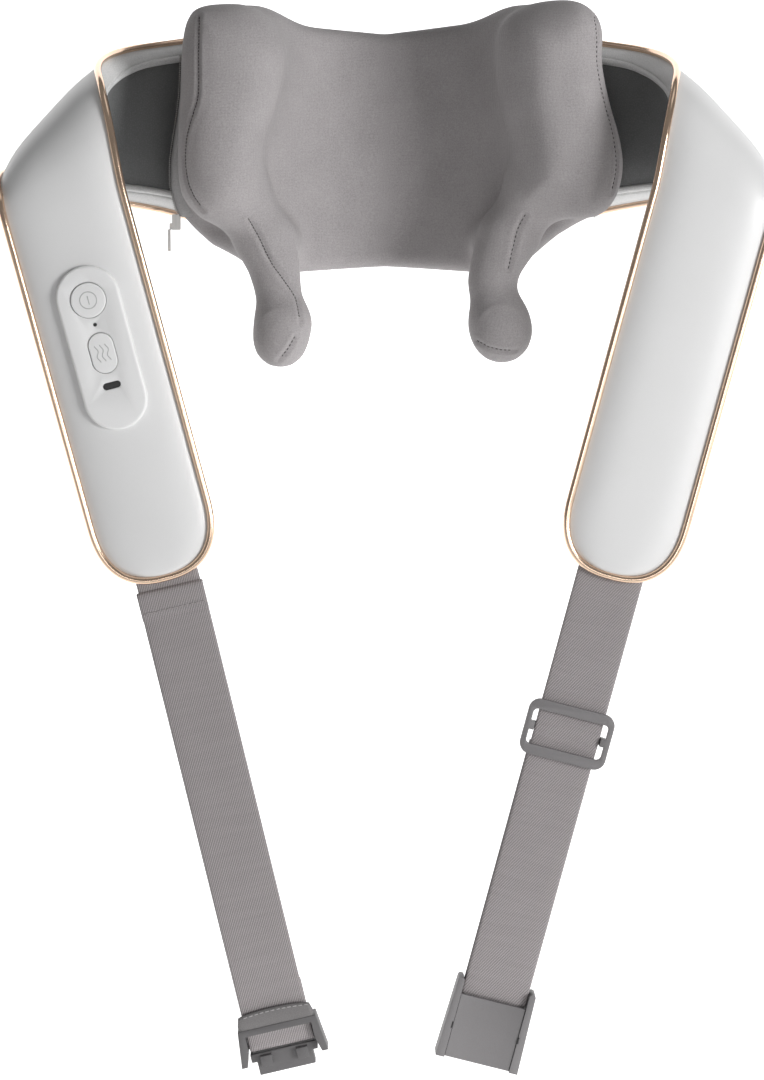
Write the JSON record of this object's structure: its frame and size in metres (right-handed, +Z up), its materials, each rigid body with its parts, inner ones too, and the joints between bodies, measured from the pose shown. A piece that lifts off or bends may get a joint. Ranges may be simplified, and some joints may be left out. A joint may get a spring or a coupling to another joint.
{
  "type": "shiatsu neck massager",
  "caption": "Wearable shiatsu neck and shoulder massager: horseshoe collar with driven kneading heads, folded shoulder arms, control pod and magnetic buckle straps.",
  "frame": {"origin": "where the nape rests, on the middle of the fabric panel between the upper heads", "axes": "+Z up along the spine, +Y from the wearer to the rear shell, +X to the right of somebody who faces the massage heads"},
  "size_m": [0.407, 0.1521, 0.5685],
  "materials": {
    "soft_touch": "soft-touch coated, satin",
    "rose_gold": "plated rose gold, polished",
    "side_wall": "light grey polyurethane over foam",
    "dark_lining": "dark grey polyurethane",
    "knit_cover": "warm grey stretch knit",
    "webbing": "herringbone twill webbing",
    "buckle_plastic": "fine spark texture",
    "pull_leather": "stitched grain",
    "zip_tape": "light grey knit tape",
    "zip_metal": "nickel",
    "inner_plastic": "moulded nylon",
    "gear_plastic": "acetal",
    "steel": "turned steel",
    "bronze": "sintered bronze",
    "motor_can": "zinc plated",
    "circuit_board": "solder mask",
    "head_foam": "moulded foam rubber",
    "heating_film": "carbon heating film",
    "battery_wrap": "shrink wrap",
    "ribbon": "flat flexible cable",
    "lens": "smoked light pipe",
    "magnet": "nickel plated"
  },
  "bodies": {
    "root": {"rear_shell": "soft_touch", "rear_trim": "rose_gold", "rear_rim": "side_wall", "chassis_tray": "inner_plastic", "gearbox_rear_plate": "inner_plastic", "gearbox_front_plate": "inner_plastic", "gearbox_screws": "steel", "hand_pivot_screws": "steel", "shaft_bushes": "bronze", "motor": "motor_can", "main_board": "circuit_board", "cover_base": "knit_cover", "zipper_tapes": "zip_tape", "zipper_slider": "zip_metal"},
    "zip_pull": {"zipper_pull": "zip_metal"},
    "worm": {"worm": "steel"},
    "gear_left": {"worm_wheel_left": "gear_plastic", "drive_shaft_left": "steel"},
    "hand_left": {"hand_left": "inner_plastic", "upper_head_left": "head_foam", "lower_head_left": "head_foam", "heating_film_left": "heating_film", "head_sleeves_left": "knit_cover"},
    "arm_left": {"arm_shell_left": "soft_touch", "arm_pad_left": "side_wall", "arm_lining_left": "dark_lining", "arm_trim_left": "rose_gold", "spring_strip_left": "steel", "ribbon_cable_left": "ribbon", "strap_tab_left": "webbing", "control_pod": "soft_touch", "indicator_lens": "lens", "usb_socket": "zip_metal", "control_board": "circuit_board"},
    "gear_right": {"worm_wheel_right": "gear_plastic", "drive_shaft_right": "steel"},
    "hand_right": {"hand_right": "inner_plastic", "upper_head_right": "head_foam", "lower_head_right": "head_foam", "heating_film_right": "heating_film", "head_sleeves_right": "knit_cover"},
    "arm_right": {"arm_shell_right": "soft_touch", "arm_pad_right": "side_wall", "arm_lining_right": "dark_lining", "arm_trim_right": "rose_gold", "spring_strip_right": "steel", "ribbon_cable_right": "ribbon", "strap_tab_right": "webbing", "battery_pack": "battery_wrap"},
    "power_button": {"power_button": "soft_touch"},
    "heat_button": {"heat_button": "soft_touch"},
    "strap_left": {"strap_left": "webbing"},
    "male_buckle": {"male_frame": "buckle_plastic", "hook_plate": "buckle_plastic", "buckle_pull_tab": "pull_leather"},
    "strap_right": {"strap_right": "webbing"},
    "strap_slider": {"strap_slider": "buckle_plastic"},
    "strap_loop": {"strap_loop_right": "webbing"},
    "female_buckle": {"female_buckle": "buckle_plastic", "female_magnet": "magnet"}
  },
  "joints": [
    {"name": "arm_left_flex", "type": "hinge", "parent": "root", "child": "arm_left", "pos_m": [-0.12437, 0.00506, 0], "axis": [0, 0, -1], "range_deg": [0, 20], "stiffness_Nm_per_rad": 1.5},
    {"name": "arm_right_flex", "type": "hinge", "parent": "root", "child": "arm_right", "pos_m": [0.12437, 0.00506, 0], "axis": [0, 0, 1], "range_deg": [0, 20], "stiffness_Nm_per_rad": 1.5},
    {"name": "wheel_left_spin", "type": "hinge", "parent": "root", "child": "gear_left", "pos_m": [-0.02, 0.0215, 0], "axis": [0, 1, 0], "continuous": true},
    {"name": "wheel_right_spin", "type": "hinge", "parent": "root", "child": "gear_right", "pos_m": [0.02, 0.0215, 0], "axis": [0, 1, 0], "continuous": true},
    {"name": "worm_spin", "type": "hinge", "parent": "root", "child": "worm", "pos_m": [0, 0.0215, 0], "axis": [0, 0, 1], "continuous": true},
    {"name": "hand_left_swing", "type": "hinge", "parent": "root", "child": "hand_left", "pos_m": [-0.052, 0, 0], "axis": [0, 1, 0], "range_deg": [-5, 5]},
    {"name": "hand_right_swing", "type": "hinge", "parent": "root", "child": "hand_right", "pos_m": [0.052, 0, 0], "axis": [0, 1, 0], "range_deg": [-5, 5]},
    {"name": "power_button_press", "type": "slide", "parent": "arm_left", "child": "power_button", "axis": [0, 1, 0], "range_m": [0, 0.0008], "stiffness_N_per_m": 1500},
    {"name": "heat_button_press", "type": "slide", "parent": "arm_left", "child": "heat_button", "axis": [0, 1, 0], "range_m": [0, 0.0008], "stiffness_N_per_m": 1500},
    {"name": "strap_left_swing", "type": "hinge", "parent": "arm_left", "child": "strap_left", "pos_m": [-0.11499, -0.0999, -0.22397], "axis": [0.9673, 0, 0.2538], "range_deg": [-60, 30]},
    {"name": "male_buckle_tilt", "type": "hinge", "parent": "strap_left", "child": "male_buckle", "pos_m": [-0.05744, -0.0972, -0.47126], "axis": [0.974, 0, 0.2267], "range_deg": [0, 30]},
    {"name": "strap_right_swing", "type": "hinge", "parent": "arm_right", "child": "strap_right", "pos_m": [0.11499, -0.0999, -0.22397], "axis": [0.9673, 0, -0.2538], "range_deg": [-60, 30]},
    {"name": "strap_slider_slide", "type": "slide", "parent": "strap_right", "child": "strap_slider", "axis": [-0.2538, 0, -0.9673], "range_m": [-0.05, 0.04], "deforming": ["strap_right"]},
    {"name": "strap_loop_slide", "type": "slide", "parent": "strap_slider", "child": "strap_loop", "axis": [-0.2538, 0, -0.9673], "range_m": [-0.02, 0.025], "deforming": ["strap_loop_right"]},
    {"name": "female_buckle_tilt", "type": "hinge", "parent": "strap_loop", "child": "female_buckle", "pos_m": [0.05629, -0.0972, -0.4477], "axis": [0.9673, 0, -0.2538], "range_deg": [-25, 25]},
    {"name": "zip_pull_swing", "type": "hinge", "parent": "root", "child": "zip_pull", "pos_m": [-0.1154, -0.01175, -0.0415], "axis": [0, 1, 0], "range_deg": [0, 80]}
  ],
  "couplings": [
    {"joint": "wheel_right_spin", "follows": "wheel_left_spin", "ratio": -1},
    {"joint": "worm_spin", "follows": "wheel_left_spin", "ratio": 30},
    {"joint": "hand_right_swing", "follows": "hand_left_swing", "ratio": -1},
    {"joint": "strap_loop_slide", "follows": "strap_slider_slide", "ratio": -0.5}
  ]
}
